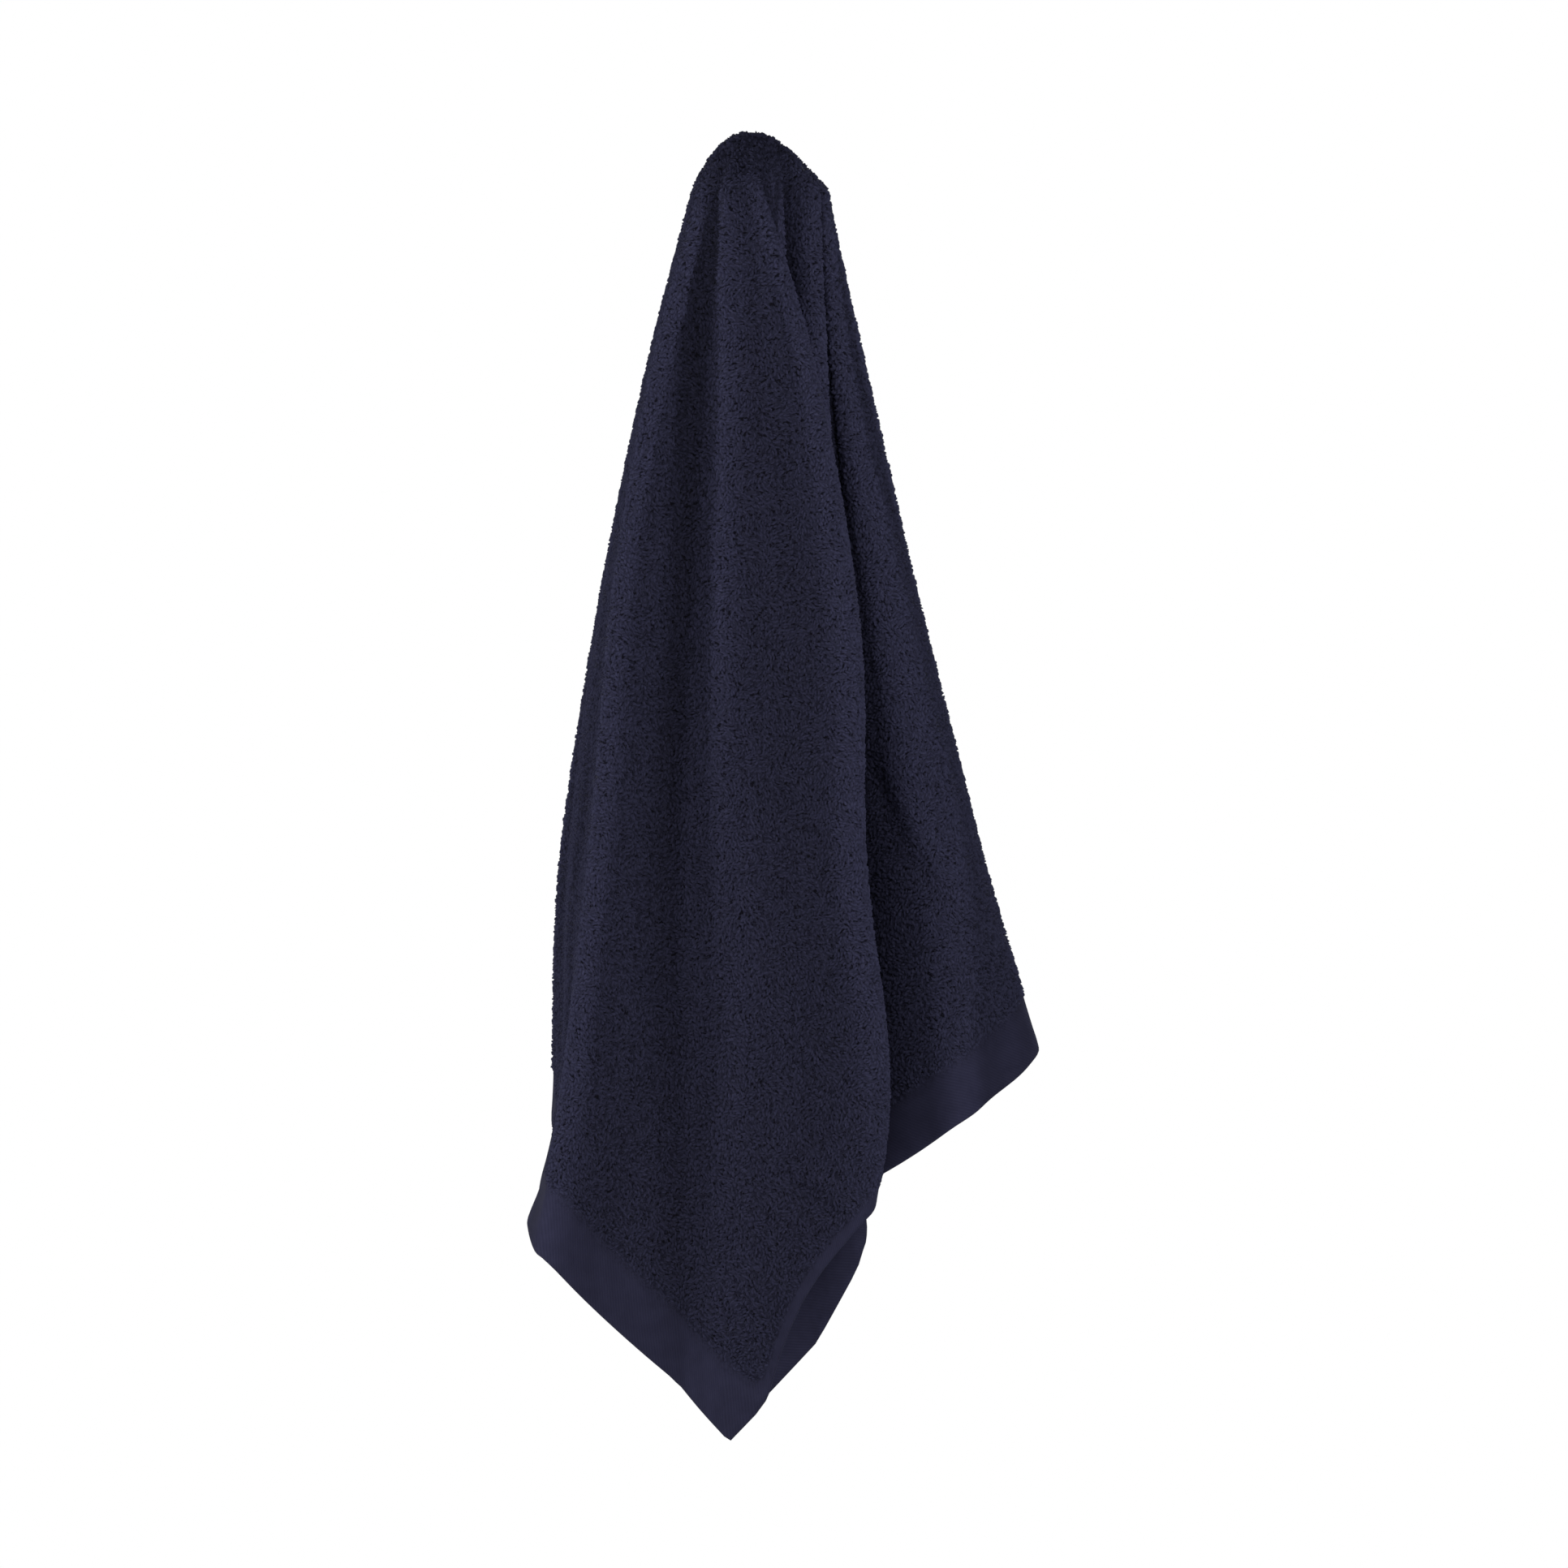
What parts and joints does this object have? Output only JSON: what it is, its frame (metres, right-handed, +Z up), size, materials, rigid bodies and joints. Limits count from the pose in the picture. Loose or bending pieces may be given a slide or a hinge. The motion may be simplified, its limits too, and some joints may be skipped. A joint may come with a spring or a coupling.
{
  "type": "hand towel",
  "caption": "Plain terry hand towel with flat woven end bands, hung from one point near the middle of a long side so that it drops in long folds.",
  "frame": {"origin": "the hanging point: the highest place of the cloth, on the top of the crown that its folds run down from", "axes": "+Z up, against the way the towel hangs; -Y the side seen in the picture; +X to the right in the picture"},
  "size_m": [0.2397, 0.1436, 0.604],
  "materials": {
    "terry_cloth": "looped pile, matt, with flat twill end bands"
  },
  "bodies": {
    "root": {"towel": "terry_cloth"}
  },
  "joints": []
}
